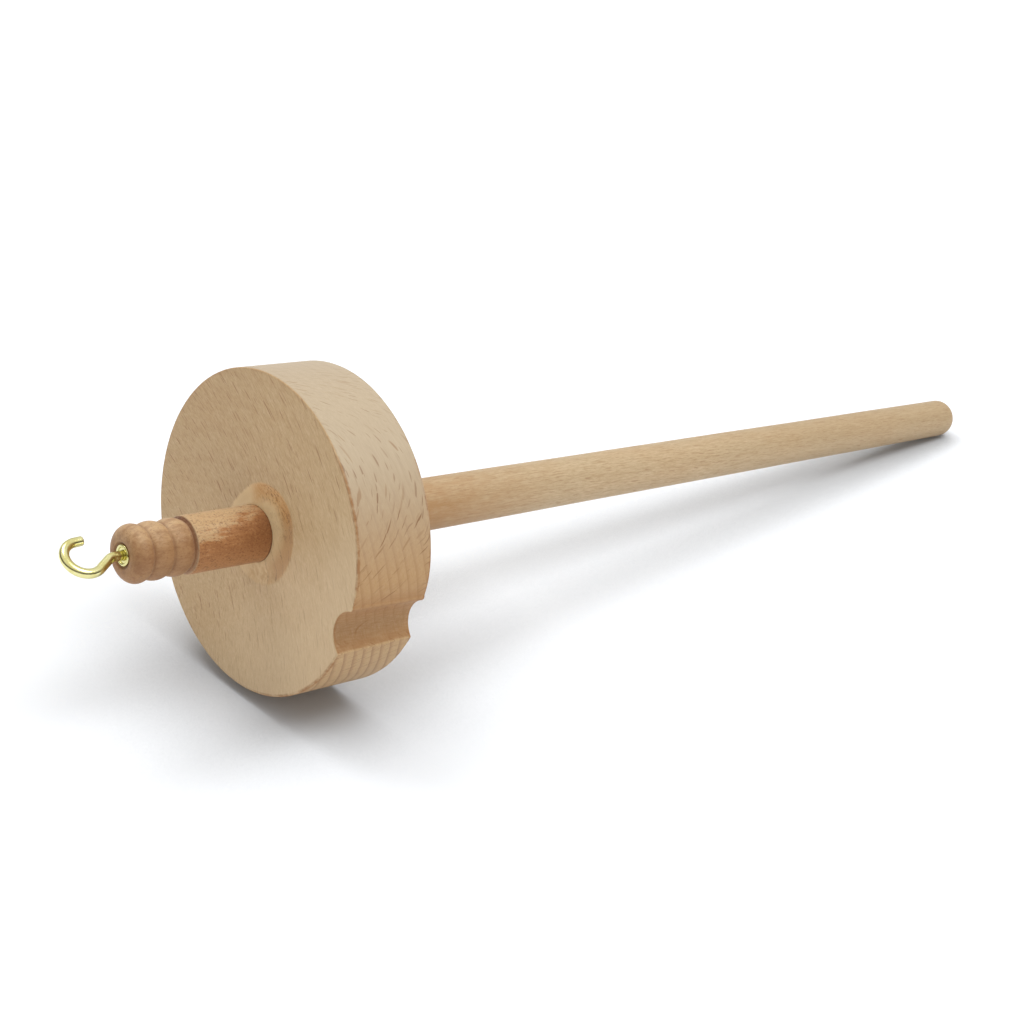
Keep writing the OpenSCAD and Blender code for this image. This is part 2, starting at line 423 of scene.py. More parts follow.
# Rays: cell and spot size along fibre, tangent and radial, then offset and strength range
WHORL_RAYS = [
    ((3.6, 1.25, 7.0), (1.85, 0.155, 4.2), (0, 0, 0), (0.15, 0.95)),
    ((2.4, 0.80, 5.0), (1.15, 0.105, 3.0), (3.7, 11.3, 5.1), (0.04, 0.42)),
    ((7.0, 2.6, 10.0), (2.6, 0.16, 5.5), (1.7, 5.3, 9.1), (0.10, 0.90)),
]
SHAFT_RAYS = [
    ((5.0, 1.2, 6.0), (1.8, 0.13, 3.6), (0, 0, 0), (0.15, 0.9)),
    ((3.0, 0.8, 4.5), (1.1, 0.09, 2.4), (3.7, 11.3, 5.1), (0.08, 0.6)),
]
WHORL_PALETTE = {
    "base": (196, 166, 123), "light": (210, 184, 144), "dark": (177, 143, 98),
    "warm": (186, 144, 96), "end": (186, 148, 100), "ray": (142, 94, 52),
    "ring": (140, 98, 60),
}
SHAFT_PALETTE = {
    "base": (192, 168, 132), "light": (208, 184, 148), "dark": (168, 136, 96),
    "warm": (188, 142, 92), "end": (160, 122, 86), "ray": (140, 92, 54),
    "ring": (160, 112, 70),
}

# The whorl's fibres lie on wide arcs round a point at (-x, -y) and dip through its thickness
GRAIN_CENTRE, GRAIN_RADIUS, GRAIN_START = (49.0, 63.0), 79.8, 0.9098
GRAIN_MID_Z = 11.0
# Directions in (round the arc, out from its middle, z)
FIBRE_DIR, RADIAL_DIR = (0.959, 0.078, -0.274), (0.285, -0.259, 0.923)
TANGENT_DIR = (0.963, 0.270)  # out and z only


def set_whorl_fibres(wood):
    x, y, z = wood.axes
    normal_x, normal_y, normal_z = wood.normal
    from_x, from_y = x + GRAIN_CENTRE[0], y + GRAIN_CENTRE[1]
    reach = wood.math("SQRT", from_x * from_x + from_y * from_y)
    turn = wood.math("ARCTAN2", from_y, from_x)
    around = (turn - GRAIN_START) * -GRAIN_RADIUS
    outward = reach - GRAIN_RADIUS
    up = z - GRAIN_MID_Z
    cosine, sine = from_x / reach, from_y / reach
    normal_around = normal_x * sine + normal_y * (cosine * -1.0)
    normal_out = normal_x * cosine + normal_y * sine
    wood.set_fibres(
        along=weighted_sum((around, outward, up), FIBRE_DIR),
        tangent=weighted_sum((outward, up), TANGENT_DIR),
        radial=weighted_sum((around, outward, up), RADIAL_DIR),
        end_grain=abs(weighted_sum((normal_around, normal_out, normal_z), FIBRE_DIR)))


def dish_edge_value(wood):
    """Radius of the dish's edge in the direction of the point, from a curve."""
    x, y, z = wood.axes
    full_scale, steps = 20.0, 24
    azimuth = wood.math("ARCTAN2", y, x).linear(-math.pi, math.pi)
    curve_node = wood.node("ShaderNodeFloatCurve", {"Value": azimuth})
    points = curve_node.mapping.curves[0].points
    turns = np.arange(steps + 1) / steps
    heights = dish_radius(-math.pi + 2 * math.pi * turns) / full_scale
    stations = [(float(turn), float(height)) for turn, height in zip(turns, heights)]
    points[0].location = stations[0]
    for station in stations[1:-1]:
        points.new(*station)
    points[len(points) - 1].location = stations[-1]
    curve_node.mapping.update()
    return Value(wood, curve_node.outputs[0]) * full_scale


def paint_dish_and_face(wood):
    """The off-centre dish with its torn slope, and the flat face round it. The dish has painted
    light and shade on its slopes.
    """
    x, y, z = wood.axes
    toward = wood.toward
    on_top = wood.normal[2].smooth(0.72, 0.93)
    into = dish_edge_value(wood) - wood.radius
    rag = wood.noise_along(wood.fibre, (0.5, 1.3, 0.9), detail=3.0, rough=0.65)
    into = into + (rag - 0.5) * 1.4
    inside = into.smooth(-0.2, 0.7) * on_top
    slope = inside * into.smooth(7.4, 3.6)
    thirsty = toward(80).smooth(0.70, 0.95)
    tear = wood.noise_along(wood.fibre, (1.0, 2.2, 1.2), detail=3.0, rough=0.7)
    torn = tear.smooth(0.54, 0.62) * toward(62).smooth(0.72, 0.93)
    # Inside the dish: paler wood, paler still toward 130 degrees as painted light, then painted
    # shade on the slope toward +X
    wood.coat((226, 197, 148), inside * toward(130).smooth(-0.2, 0.8, out=(0.55, 0.95)))
    wood.coat((170, 122, 74), slope * toward(16).smooth(0.58, 0.90), strength=0.66)
    wood.coat((178, 132, 82), slope * toward(-50).smooth(0.80, 0.97) * rag.smooth(0.40, 0.60),
              strength=0.45)
    wood.coat((198, 140, 72), inside * into.smooth(6.6, 2.8) * thirsty
              * tear.smooth(0.30, 0.60, out=(0.50, 1.0)), strength=0.80)
    wood.coat((128, 88, 48), inside * into.smooth(6.6, 3.2) * torn, strength=0.62)

    # Hairlines along the grain on the +X side of the dish
    hair = abs((wood.fibre[1] * 0.31 + rag * 0.5).fract() - 0.5) * 2.0
    hair = hair.smooth(0.10, 0.03) * inside * toward(-12).smooth(0.80, 0.95)
    wood.coat((112, 82, 54), hair, strength=0.45)
    wood.height = wood.height + inside * torn * -1.8 + inside * (tear * 0.9)

    # Flat face: painted light makes it paler toward +X and painted shade makes it darker toward -X,
    # with random blotches
    face = on_top * into.smooth(0.3, -0.3)
    painted_light_tone = x * 0.016 + y * -0.006 + (wood.blotch - 0.5) * 0.5
    wood.coat((222, 198, 162), face * painted_light_tone.smooth(-0.05, 0.55), strength=0.42)
    wood.coat((168, 132, 90), face * painted_light_tone.smooth(0.00, -0.60), strength=0.16)


def paint_rim_and_notch(wood, rim):
    x, y, z = wood.axes
    toward = wood.toward
    # Rim: warmer and darker toward the notch, where the end grain opens
    notch_side = toward(2).smooth(0.42, 0.93)
    wood.coat((172, 128, 78), rim * notch_side * toward(-90).smooth(0.25, 0.05), strength=0.62)
    wood.coat((150, 106, 62), rim * notch_side * wood.ring_phase.smooth(0.55, 0.97),
              strength=0.24)
    # Painted highlight: the rim's +Y side, which faces up to the lights, paler and greyer
    wood.coat((186, 173, 152), rim * toward(88).smooth(0.25, 0.95), strength=0.62)

    # Rim corners, burnished where the end grain comes to them. past_face is 0 at each face
    # and falls toward the middle of the thickness.
    lump = wood.noise_along(wood.axes, (0.7, 0.7, 0.7), detail=3.0, rough=0.65)
    drag = wood.noise_along(wood.axes, (0.16, 0.16, 0.16), detail=3.0, rough=0.6)
    past_face = abs(z - WHORL_T / 2) - WHORL_T / 2 + (lump - 0.5) * 0.7
    corner = wood.radius.smooth(39.1, 39.6) * past_face.smooth(-0.80, -0.30)
    rubbed = (drag + (lump - 0.5) * 0.5).smooth(0.35, 0.62, out=(0.12, 0.78))
    wood.coat((150, 98, 52), corner * rubbed * toward(0).smooth(0.25, 0.75, out=(0.20, 1.0)))

    # Rays on the rim, steep to the growth rings
    fine, fine_chance = wood.spots((2.5, 0.72, 4.6), (1.5, 0.085, 3.0), (9.7, 2.3, 3.3))
    wide, wide_chance = wood.spots((3.4, 1.1, 3.6), (2.4, 0.11, 1.9), (2.9, 7.7, 6.1))
    wood.coat((124, 80, 42), rim * fine * fine_chance.linear(0, 1, out=(0.22, 0.86))
              * toward(0).smooth(0.3, 0.9, out=(0.45, 1.0)))
    wood.coat((150, 110, 70), rim * wide * wide_chance.linear(0, 1, out=(0.10, 0.60)))

    # The notch's edges at both faces were scorched a little by the cutter
    from_notch = wood.vector_math("DISTANCE", wood.vector(x, y, 0.0), (42.2, -0.8, 0.0))
    scorch = (wood.radius.smooth(40.5, 35.0) * from_notch.smooth(7.25, 6.75)
              * past_face.smooth(-0.9, -0.2))
    wood.coat((150, 98, 52), scorch * lump.smooth(0.30, 0.60, out=(0.25, 0.70)))

    # Notch floor: cut across the grain, a little rougher and darker
    floor = (wood.radius.smooth(39.9, 39.3) * wood.normal[2].smooth(0.6, 0.3)
             * x.smooth(34.0, 34.8))
    milled = wood.noise_along(wood.axes, (0.6, 2.6, 0.30), detail=3.0, rough=0.6)
    wood.coat((156, 108, 62), floor * milled.smooth(0.30, 0.70, out=(0.50, 0.74)))
    wood.height = wood.height + floor * (milled * 0.8)
    wood.roughness = wood.roughness + floor * 0.08


def whorl_beech():
    wood = Wood("beech_whorl")
    set_whorl_fibres(wood)
    rays = wood.rays(WHORL_RAYS)
    rim = wood.radius.smooth(38.0, 38.6) * wood.normal[2].smooth(0.5, 0.2)
    rays = rays * (1.0 - rim * 0.74)
    wood.paint_grain(rays, ring_pitch=2.6, ray_strength=0.84, palette=WHORL_PALETTE)
    paint_dish_and_face(wood)
    paint_rim_and_notch(wood, rim)
    return wood.finish_wood()


def paint_turned_end(wood):
    """Neck and beads are burnished on the lathe: warmer and darker, patchy. The neck is darker
    toward the floor as painted shade, and the beads stay paler on the side away from it as painted
    light.
    """
    x, y, z = wood.axes
    neck = z.smooth(20.0, 21.0) * z.smooth(SCORE_Z + 0.15, SCORE_Z - 0.15)
    beads = z.smooth(SCORE_Z + 0.1, SCORE_Z + 0.6)
    # lower runs from -1 to 1 across the shaft, highest toward (0.56, -0.83), the side that faces the
    # floor
    lower = weighted_sum((x, y), (0.56, -0.83)) * (1 / 7.0)
    patch = wood.noise_along(wood.axes, (0.42, 0.42, 0.15), detail=5.0, rough=0.72)
    streak = wood.noise_along(wood.axes, (1.5, 1.5, 0.32), detail=3.0, rough=0.7)
    speck = wood.noise_along(wood.axes, (2.2, 2.2, 1.7), detail=3.0, rough=0.7)
    # The edge of the painted shade shifts round the neck with height
    shift = -0.18 + (z - 41.0) * 0.043
    drift = lower + shift * -1.0 + (patch - 0.5) * 2.1 + (streak - 0.5) * 1.1
    burnish_and_shade = drift.smooth(-0.22, 0.34)
    wood.coat((196, 156, 108), neck, strength=0.55)
    wood.coat((170, 112, 62), neck * burnish_and_shade, strength=0.84)
    wood.coat((138, 86, 46), neck * drift.smooth(0.05, 0.75)
              * lower.smooth(0.85, 0.15, out=(0.00, 0.62)))
    wood.coat((108, 64, 34), neck * speck.smooth(0.52, 0.66), strength=0.60)
    wood.coat((198, 148, 96), neck * speck.smooth(0.44, 0.30), strength=0.34)
    wood.coat((196, 156, 110), beads, strength=0.62)
    wood.coat((154, 110, 68), beads * (lower + (streak - 0.5) * 0.8).smooth(-0.85, -0.05),
              strength=0.80)
    wood.coat((130, 84, 50), beads * patch.smooth(0.42, 0.66), strength=0.50)
    wood.coat((118, 76, 48), beads * speck.smooth(0.54, 0.68), strength=0.42)
    wood.coat((190, 150, 106), beads * speck.smooth(0.44, 0.30), strength=0.25)
    wood.height = (wood.height + neck * (speck * 1.1) + neck * (streak * 0.8)
                   + beads * (speck * 0.5))
    wood.roughness = wood.roughness + neck * burnish_and_shade * -0.04
    return beads, lower, patch, streak


def shaft_beech():
    wood = Wood("beech_shaft")
    x, y, z = wood.axes
    # Fibres run along the shaft with a little slope
    wood.set_fibres(
        along=z + x * 0.25,
        tangent=weighted_sum((x, y, z), (0.80, -0.60, 0.020)),
        radial=weighted_sum((x, y, z), (0.60, 0.80, 0.012)),
        end_grain=abs(wood.normal[2]))
    wood.paint_grain(wood.rays(SHAFT_RAYS), ring_pitch=2.4, ray_strength=0.58,
                     palette=SHAFT_PALETTE)
    beads, lower, patch, streak = paint_turned_end(wood)

    # A warm run of shaft under the whorl, and a darker one toward the tip
    under = z.smooth(1.0, -1.0) * z.smooth(-90.0, -15.0)
    warmth = (patch + lower * 0.20).smooth(0.15, 0.70, out=(0.20, 0.88))
    wood.coat((168, 122, 72), under * warmth)
    wood.coat((168, 138, 98), z.smooth(-120.0, -210.0), strength=0.35)

    # The scored line is painted darker, most on the side away from the floor; the upper valley
    # between beads gets painted shade
    line = (z.smooth(SCORE_Z + 0.04, SCORE_Z + 0.20)
            * z.smooth(SCORE_Z + SCORE_W - 0.02, SCORE_Z + SCORE_W - 0.20))
    line_darkness = (streak.smooth(0.25, 0.75, out=(0.95, 0.55))
            * lower.smooth(-0.75, 0.35, out=(1.0, 0.40)))
    wood.coat((104, 56, 28), line * line_darkness)
    valley = beads * wood.radius.smooth(6.45, 6.15) * z.smooth(END_Z - 3.0, END_Z - 4.4)
    wood.coat((112, 70, 42), valley, strength=0.28)

    # Countersunk seat: bare end grain, darkened more as painted shade in the recess round the
    # collar. Then the tip, and the dark joint with the whorl, made heavier on the side toward the
    # floor as painted shade.
    seat = (z.smooth(END_Z - 1.2, END_Z - 0.9)
            * wood.radius.smooth(SEAT_TOP_R + 0.1, SEAT_TOP_R - 0.2))
    wood.coat((120, 82, 50), seat, strength=0.45)
    wood.coat((176, 122, 72), z.smooth(TIP_Z + 3.0, TIP_Z + 0.4), strength=0.35)
    seam = z.smooth(WHORL_T - 1.4, WHORL_T - 0.9) * z.smooth(WHORL_T - 0.05, WHORL_T - 0.45)
    wood.coat((88, 52, 28), seam * lower.smooth(-0.2, 0.7, out=(0.10, 0.85)))
    return wood.finish_wood()


def brass(name, tint=1.0):
    metal = Graph(bpy.data.materials.new(name))
    metal.use_object_mm()
    tarnish = metal.noise(metal.point.scaled(0.35), detail=3.0, rough=0.6)
    speck = metal.noise(metal.point.scaled(6.0))
    drawn = metal.noise_along(metal.axes, (9.0, 9.0, 1.2), rough=0.6)
    metal.colour = srgb(232 * tint, 226 * tint, 168 * tint)
    metal.coat((222 * tint, 212 * tint, 140 * tint), tarnish.smooth(0.35, 0.70))
    metal.coat((150, 136, 74), speck.smooth(0.62, 0.75), strength=0.25)
    return metal.finish(
        {"Strength": 0.25, "Distance": 0.00003, "Height": drawn * 0.6 + speck * 0.5},
        {"Metallic": 1.0, "Roughness": 0.15 + tarnish * 0.08 + drawn * 0.05})


SHAFT_MATERIAL = shaft_beech()
WHORL_MATERIAL = whorl_beech()
HOOK_MATERIAL = brass("brass_hook")
COLLAR_MATERIAL = brass("brass_collar", tint=0.96)


# ---------------------------------------------------------------- shaft
def turned_radius(z):
    """Radius of the turned end at heights z, up to the middle of the end bead."""
    radius = np.full_like(z, VALLEY_R - 0.4)
    for centre, length, crown in BEADS:
        rise = crown - VALLEY_R
        curve_r = ((length / 2) ** 2 + rise * rise) / (2 * rise)
        off = np.abs(z - centre)
        swell = crown - curve_r + np.sqrt(np.clip(curve_r * curve_r - off * off, 0, None))
        radius = np.where(off < length / 2 + 0.3, np.maximum(radius, swell), radius)
    off = np.abs(z - END_BEAD_Z)
    swell = END_BEAD_OUT + np.sqrt(np.clip(END_BEAD_R * END_BEAD_R - off * off, 0, None))
    radius = np.where(off < END_BEAD_R, np.maximum(radius, swell), radius)
    flank = SHAFT_R + (VALLEY_R - 0.1 - SHAFT_R) * np.clip((z - SCORE_Z) / SCORE_W, 0, 1)
    return np.where(z <= SCORE_Z + SCORE_W, flank, radius)


def turned_end_points():
    """The turned end, sampled finely and eased a little in its corners."""
    heights = np.arange(SCORE_Z - 0.35, END_BEAD_Z + 0.001, 0.05)
    fine = np.linspace(heights[0] - 0.6, END_BEAD_Z + 0.6, 4000)
    radius = np.where(fine > END_BEAD_Z, END_BEAD_OUT + END_BEAD_R, turned_radius(fine))
    blur, reach = 0.06, 60
    weight = np.exp(-0.5 * (np.arange(-reach, reach + 1) * (fine[1] - fine[0]) / blur) ** 2)
    radius = np.convolve(np.pad(radius, reach, mode="edge"), weight / weight.sum(),
                         mode="valid")
    return [(float(np.interp(z, fine, radius)), float(z)) for z in heights]


def shaft_profile():
    """Outline from the tip up to the end face, then down into the pilot hole."""
    points = [(0.0, TIP_Z)]
    tip_steps = 26
    for k in range(1, tip_steps + 1):
        angle = (math.pi / 2) * k / tip_steps
        points.append((TIP_R * math.sin(angle) ** TIP_POWER,
                       TIP_Z + TIP_LEN * (1 - max(0.0, math.cos(angle)) ** TIP_POWER)))
    taper_z = TIP_Z + TIP_LEN
    for z in np.linspace(taper_z, TAPER_TOP_Z, 150)[1:]:
        k = (z - taper_z) / (TAPER_TOP_Z - taper_z)
        points.append((TIP_R + (SHAFT_R - TIP_R) * k, z))
    points += [(SHAFT_R, z) for z in np.linspace(TAPER_TOP_Z, SCORE_Z - 0.4, 60)[1:]]
    points += turned_end_points()
    points += arc(END_BEAD_OUT, END_BEAD_Z, END_BEAD_R, 4, 90, 26)
    # End face, then the seat's eased rim, wall and floor
    points += [(float(r), END_Z) for r in np.linspace(END_BEAD_OUT, SEAT_TOP_R + 0.12, 6)[1:]]
    points += [(SEAT_TOP_R + 0.03, END_Z - 0.03), (SEAT_TOP_R - 0.04, END_Z - 0.09)]
    for k in np.linspace(0.2, 0.9, 6):
        points.append((SEAT_TOP_R + (SEAT_R - SEAT_TOP_R) * k, END_Z + (SEAT_Z - END_Z) * k))
    points += [(float(r), SEAT_Z - 0.003) for r in np.linspace(SEAT_R - 0.02, PILOT_R + 0.12, 8)]
    # Pilot hole
    points += [(PILOT_R + 0.04, SEAT_Z - 0.04), (PILOT_R, SEAT_Z - 0.14)]
    points += [(PILOT_R, float(z)) for z in np.linspace(SEAT_Z - 0.6, SEAT_Z - PILOT_LEN, 12)]
    points += [(0.6, SEAT_Z - PILOT_LEN - 0.35), (0.0, SEAT_Z - PILOT_LEN - 0.5)]
    return points


def shaft_wobble(theta, r, z):
    """Slightly uneven turning, left out inside the whorl and in the seat and pilot hole."""
    if (z > WHORL_T - 1.2 and r < 5.0) or 0 <= z <= WHORL_T:
        return 0.0
    ripple = 0.018 * ring_noise(theta + 0.02 * z, 11)
    if z < 0:
        return ripple - 0.03 + 0.03 * smooth_noise(z * 0.05, 5)
    return ripple * 0.8 - 0.01


shaft = lathe("shaft_wood", shaft_profile(), 160, SHAFT_MATERIAL, wobble=shaft_wobble)
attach(shaft, "spindle")
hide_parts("shaft")


# ---------------------------------------------------------------- whorl
def whorl_outline(notch):
    """Rim outline with the notch, anticlockwise seen from +Z: points and outward normals."""
    notch_x, turn, notch_r = notch
    notch_centre = np.array([notch_x, 0])

    def fillet(r, side):
        """Lip circle touching rim and notch: its angle, middle and contact with the notch."""
        reach = WHORL_R - r
        angle = math.acos((reach ** 2 + notch_x * notch_x - (notch_r + r) ** 2)
                          / (2 * reach * notch_x))
        centre = np.array([reach * math.cos(angle), side * reach * math.sin(angle)])
        return angle, centre, notch_centre + (centre - notch_centre) * notch_r / (notch_r + r)

    def bearing(point, centre):
        return math.atan2(point[1] - centre[1], point[0] - centre[0])

    crisp_angle, crisp_centre, crisp_contact = fillet(LIP_CRISP, -1)
    eased_angle, eased_centre, eased_contact = fillet(LIP_EASED, 1)
    floor_start = bearing(crisp_contact, notch_centre) % (2 * math.pi)
    floor_end = bearing(eased_contact, notch_centre) % (2 * math.pi)
    eased_start = bearing(eased_contact, eased_centre)
    if eased_start > eased_angle:
        eased_start -= 2 * math.pi
    crisp_end = bearing(crisp_contact, crisp_centre)
    if crisp_end < -crisp_angle:
        crisp_end += 2 * math.pi

    # Circle's middle, its radius, angles, and 1 or -1 for a normal away from or to the middle
    arcs = [
        (notch_centre, notch_r, np.linspace(floor_start, floor_end, NOTCH_POINTS), -1),
        (eased_centre, LIP_EASED, np.linspace(eased_start, eased_angle, EASED_POINTS)[1:], 1),
        (np.zeros(2), WHORL_R,
         np.linspace(eased_angle, 2 * math.pi - crisp_angle, RIM_POINTS)[1:], 1),
        (crisp_centre, LIP_CRISP, np.linspace(-crisp_angle, crisp_end, CRISP_POINTS)[1:-1], 1),
    ]
    points, normals = [], []
    for centre, radius, angles, facing in arcs:
        outward = np.c_[np.cos(angles), np.sin(angles)]
        points.append(centre + radius * outward)
        normals.append(facing * outward)
    cosine, sine = math.cos(math.radians(turn)), math.sin(math.radians(turn))
    rotation = np.array([[cosine, sine], [-sine, cosine]])
    return np.concatenate(points) @ rotation, np.concatenate(normals) @ rotation


def dish_drop(theta, edge, radius):
    """Depth of the dish below the face, with chatter marks on its torn slope."""
    deep = DISH_DEPTH * np.clip((edge - 8.2) / 8.2, 0.16, 1.0)
    inward = edge - radius
    fall = np.clip((inward + 0.4) / 3.5, 0, 1)
    rise = np.clip((inward - 2.2) / np.maximum(edge - 7.2 - 2.2, 1.0), 0, 1)
    wave = (0.035 * np.sin(7.5 * radius + 9 * theta + 1.2 * np.sin(23 * theta))
            * np.sin(31 * theta + 2.1 * radius))
    wave = wave + 0.02 * np.sin(13 * radius - 41 * theta)
    torn = (np.exp(-0.5 * ((np.degrees(theta) - 66) / 32) ** 2)
            * np.clip(fall * (1.2 - fall) * 4, 0, 1))
    return deep * ease(fall) * (1 - 0.30 * ease(rise)) + wave * torn * (fall > 0)


def build_whorl():
    top, top_normal = whorl_outline(NOTCH_TOP)
    under, under_normal = whorl_outline(NOTCH_UNDER)
    count = len(top)
    theta = np.arctan2(top[:, 1], top[:, 0])
    degrees = np.degrees(theta)
    on_rim = np.hypot(top[:, 0], top[:, 1]) > WHORL_R - 0.05
    # Corner rounding varies round the rim, but not near the notch
    vary = ease(np.clip((np.abs(theta) - math.radians(9)) / math.radians(7), 0, 1) * on_rim)
    top_round, under_round = [
        0.22 + (0.16 + 0.07 * ring_noise(theta, seed, 9, 80)) * vary for seed in (21, 22)]
    # Hand-sanding leaves the rim a hair off round, and eases it next to the eased lip
    past_lip = np.clip((np.arange(count) - (NOTCH_POINTS - 1)) / (EASED_POINTS - 1), 0, 1)
    sanded = 0.50 * np.exp(-0.5 * (np.maximum(degrees - 9.0, 0) / 3.2) ** 2)
    sanded = sanded * (past_lip * (degrees > 0))
    off = ((0.015 + 0.020 * ring_noise(theta, 31, 2, 14)) * on_rim + sanded)[:, None]
    top, under = top - top_normal * off, under - under_normal * off
    rows = []

    def row(xy, z):
        rows.append(np.c_[xy, np.broadcast_to(z, (count,))])

    def outline_at(z, inset=0.0):
        """Outline at height z, drawn in along its normals."""
        k = np.clip(np.broadcast_to(z, (count,)) / WHORL_T, 0, 1)[:, None]
        normal = under_normal * (1 - k) + top_normal * k
        normal = normal / np.linalg.norm(normal, axis=1)[:, None]
        return under * (1 - k) + top * k - normal * np.broadcast_to(inset, (count,))[:, None]

    outward = top / np.hypot(top[:, 0], top[:, 1])[:, None]
    edge = dish_radius(theta)
    bore_lip_r = SHAFT_R + 0.12

    # Bore, from the dish's floor down
    floor_z = WHORL_T - dish_drop(theta, edge, np.full(count, bore_lip_r))
    row(outward * bore_lip_r, floor_z)
    row(outward * (SHAFT_R + 0.02), floor_z - 0.06)
    row(outward * SHAFT_R, floor_z - 0.25)
    for z in np.linspace(WHORL_T - 3, 3, 6):
        row(outward * SHAFT_R, z)
    row(outward * SHAFT_R, 0.35)
    row(outward * (SHAFT_R + 0.04), 0.08)
    under_hole = outward * (SHAFT_R + 0.20)
    row(under_hole, 0.0)
    # Underside, out to its rounded corner
    under_inset = outline_at(0.0, under_round)
    for k in np.linspace(0, 1, 14)[1:]:
        s = k ** 0.8
        row(under_hole * (1 - s) + under_inset * s, 0.0)
    for angle in np.radians(np.linspace(0, 90, 7))[1:]:
        z = under_round * (1 - math.cos(angle))
        row(outline_at(z, under_round * (1 - math.sin(angle))), z)
    # Side, and the top's rounded corner
    for k in np.linspace(0, 1, 16)[1:-1]:
        z = under_round + (WHORL_T - top_round - under_round) * k
        row(outline_at(z), z)
    for angle in np.radians(np.linspace(0, 90, 7)):
        z = WHORL_T - top_round * (1 - math.sin(angle))
        row(outline_at(z, top_round * (1 - math.cos(angle))), z)
    # Face, in to the dish, then down its slope to the bore
    top_inset = outline_at(WHORL_T, top_round)
    dish_start = edge + 0.45
    for k in np.linspace(0, 1, 14)[1:]:
        s = k ** 0.9
        row(top_inset * (1 - s) + outward * dish_start[:, None] * s, WHORL_T)
    for k in np.linspace(0, 1, 44)[1:-1]:
        s = k ** 1.15
        radius = dish_start * (1 - s) + bore_lip_r * s
        row(outward * radius[:, None], WHORL_T - dish_drop(theta, edge, radius))
    rings = [range(i * count, (i + 1) * count) for i in range(len(rows))]
    return make("whorl_wood", np.concatenate(rows), loft(rings, closed=True), WHORL_MATERIAL)


whorl = build_whorl()
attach(whorl, "spindle")
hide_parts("whorl")


# ---------------------------------------------------------------- hook
def hook_path():
    """Middle of the wire in the hook's plane, as (sideways, height, heading) from the shank up."""
    bowl_z = SEAT_Z + BOWL_UP
    lean_end_x = BOWL_OFF - BOWL_R * math.cos(LEAN)
    lean_end_z = bowl_z - BOWL_R * math.sin(LEAN)
    lean_x = -BEND_R * (1 - math.cos(LEAN))
    lean_len = (lean_x - lean_end_x) / math.sin(LEAN)
    bend_z = lean_end_z - lean_len * math.cos(LEAN) - BEND_R * math.sin(LEAN)
    lean_z = bend_z + BEND_R * math.sin(LEAN)
    path = [(0.0, float(z), 0.0) for z in np.linspace(SHANK_TOP, bend_z, 14)[:-1]]
    for a in np.linspace(0, LEAN, 12)[:-1]:
        path.append((-BEND_R * (1 - math.cos(a)), bend_z + BEND_R * math.sin(a), -a))
    for k in np.linspace(0, 1, 12)[:-1]:
        path.append((lean_x + (lean_end_x - lean_x) * k,
                     lean_z + (lean_end_z - lean_z) * k, -LEAN))

    def on_bowl(a):
        return BOWL_OFF + BOWL_R * math.cos(a), bowl_z + BOWL_R * math.sin(a), math.pi - a

    path += [on_bowl(a) for a in np.linspace(math.pi + LEAN, OPEN_ANGLE, 90)[:-1]]
    x, z, heading = on_bowl(OPEN_ANGLE)
    for k in np.linspace(0, 1, 10):
        path.append((x + OPEN_LEN * k * math.sin(heading),
                     z + OPEN_LEN * k * math.cos(heading), heading))
    return path


def thread_radius(z, start_z, phi):
    """Radius round the threaded shank at height z: pointed below, plain wire at its top."""
    turn = ((z - start_z) / PITCH - phi / (2 * math.pi)) % 1.0
    crest = ease(np.clip(1 - np.abs(turn - 0.5) / 0.30, 0, 1))
    taper = min(1.0, 0.16 + 0.84 * (z - start_z) / THREAD_LEAD)
    fade = min(1.0, max(0.0, (SHANK_TOP - 0.5 - z) / 0.8))
    radius = (WIRE_R - THREAD_DEPTH) * taper + (THREAD_DEPTH - 0.01) * crest * taper * fade
    runout = 1.3
    if z > SHANK_TOP - runout:
        plain = ease((z - (SHANK_TOP - runout)) / runout)
        radius = radius * (1 - plain) + (WIRE_R - 0.005) * plain
    return radius


